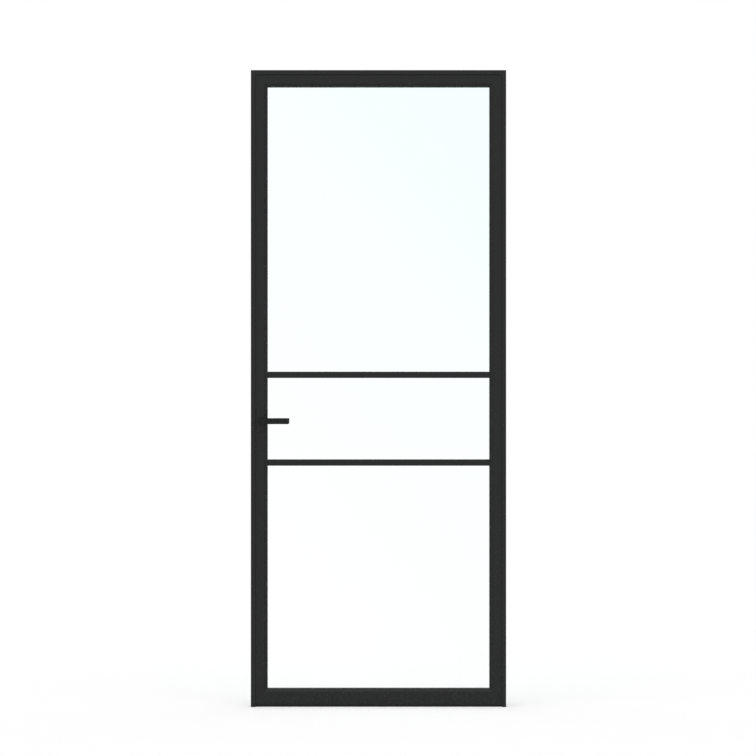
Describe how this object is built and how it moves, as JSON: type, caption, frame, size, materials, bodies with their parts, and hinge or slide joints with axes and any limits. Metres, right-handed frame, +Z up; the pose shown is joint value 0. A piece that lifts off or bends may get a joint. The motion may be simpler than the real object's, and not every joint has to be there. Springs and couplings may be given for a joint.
{
  "type": "glass door",
  "caption": "Slim black steel glass door in its frame: hinged leaf with a full glass pane, horizontal glazing bars, lever handles and a magnetic latch.",
  "frame": {"origin": "on the floor, midway between the jambs, in the middle plane of the leaf", "axes": "+X from the latch side to the hinge side, +Y towards the side that the leaf opens to, +Z up"},
  "size_m": [0.93, 0.142, 2.32],
  "materials": {
    "frame_coat": "fine-texture satin black powder coat on steel",
    "leaf_coat": "fine-texture satin black powder coat on steel tube",
    "bead_coat": "fine-texture satin black powder coat",
    "bar_coat": "fine-texture satin black powder coat",
    "hinge_coat": "satin black powder coat on turned steel",
    "lever_coat": "smooth matt black coating",
    "rose_coat": "smooth satin black coating on a pressed cover",
    "glass": "clear toughened glass with a faint cyan cast",
    "seal_rubber": "matt black seal rubber",
    "glazing_tape": "matt black glazing tape",
    "glazing_block": "plain moulded plastic",
    "bright_steel": "brushed stainless steel",
    "lock_steel": "zinc-plated steel",
    "black_screw": "black oxide steel",
    "magnet": "nickel-plated magnet",
    "washer_brass": "turned brass"
  },
  "bodies": {
    "frame": {"strike_jamb": "frame_coat", "hinge_jamb": "frame_coat", "frame_head": "frame_coat", "strike_side_seal": "seal_rubber", "hinge_side_seal": "seal_rubber", "head_seal": "seal_rubber", "strike_plate": "bright_steel", "strike_magnet": "magnet", "strike_screws": "bright_steel", "lower_hinge_frame_knuckle": "hinge_coat", "middle_hinge_frame_knuckle": "hinge_coat", "upper_hinge_frame_knuckle": "hinge_coat", "lower_hinge_pin": "bright_steel", "middle_hinge_pin": "bright_steel", "upper_hinge_pin": "bright_steel", "hinge_washers": "washer_brass"},
    "leaf": {"latch_stile": "leaf_coat", "hinge_stile": "leaf_coat", "top_rail": "leaf_coat", "bottom_rail": "leaf_coat", "floor_seal": "seal_rubber", "glass_pane": "glass", "front_glazing_tape": "glazing_tape", "rear_glazing_tape": "glazing_tape", "glazing_blocks": "glazing_block", "front_bead_latch_side": "bead_coat", "front_bead_hinge_side": "bead_coat", "front_bead_top": "bead_coat", "front_bead_bottom": "bead_coat", "rear_bead_latch_side": "bead_coat", "rear_bead_hinge_side": "bead_coat", "rear_bead_top": "bead_coat", "rear_bead_bottom": "bead_coat", "bead_screws": "black_screw", "upper_bar_front": "bar_coat", "upper_bar_rear": "bar_coat", "lower_bar_front": "bar_coat", "lower_bar_rear": "bar_coat", "bar_tapes": "glazing_tape", "lower_hinge_leaf_knuckle": "hinge_coat", "middle_hinge_leaf_knuckle": "hinge_coat", "upper_hinge_leaf_knuckle": "hinge_coat", "lock_case": "lock_steel", "lock_cover": "lock_steel", "forend": "bright_steel", "forend_screws": "bright_steel", "lock_lugs": "lock_steel", "latch_spring": "lock_steel", "return_spring": "lock_steel", "front_rose_base": "lock_steel", "front_rose_cover": "rose_coat", "rear_rose_base": "lock_steel", "rear_rose_cover": "rose_coat", "rose_screws": "lock_steel"},
    "handle": {"front_lever": "lever_coat", "rear_lever": "lever_coat", "spindle": "lock_steel", "lever_grub_screws": "black_screw", "follower": "lock_steel"},
    "latch": {"latch_bolt": "bright_steel"}
  },
  "joints": [
    {"name": "leaf_swing", "type": "hinge", "parent": "frame", "child": "leaf", "pos_m": [0.45575, 0.0285, 1.16], "axis": [0, 0, -1], "range_deg": [0, 170]},
    {"name": "lever_turn", "type": "hinge", "parent": "leaf", "child": "handle", "pos_m": [-0.4305, 0, 1.041], "axis": [0, 1, 0], "range_deg": [0, 40], "stiffness_Nm_per_rad": 1.2, "springref_deg": -28.65, "deforming": ["return_spring"]},
    {"name": "latch_slide", "type": "slide", "parent": "leaf", "child": "latch", "axis": [-1, 0, 0], "range_m": [0, 0.0075], "stiffness_N_per_m": 80, "springref_m": -0.012, "deforming": ["latch_spring"]}
  ]
}
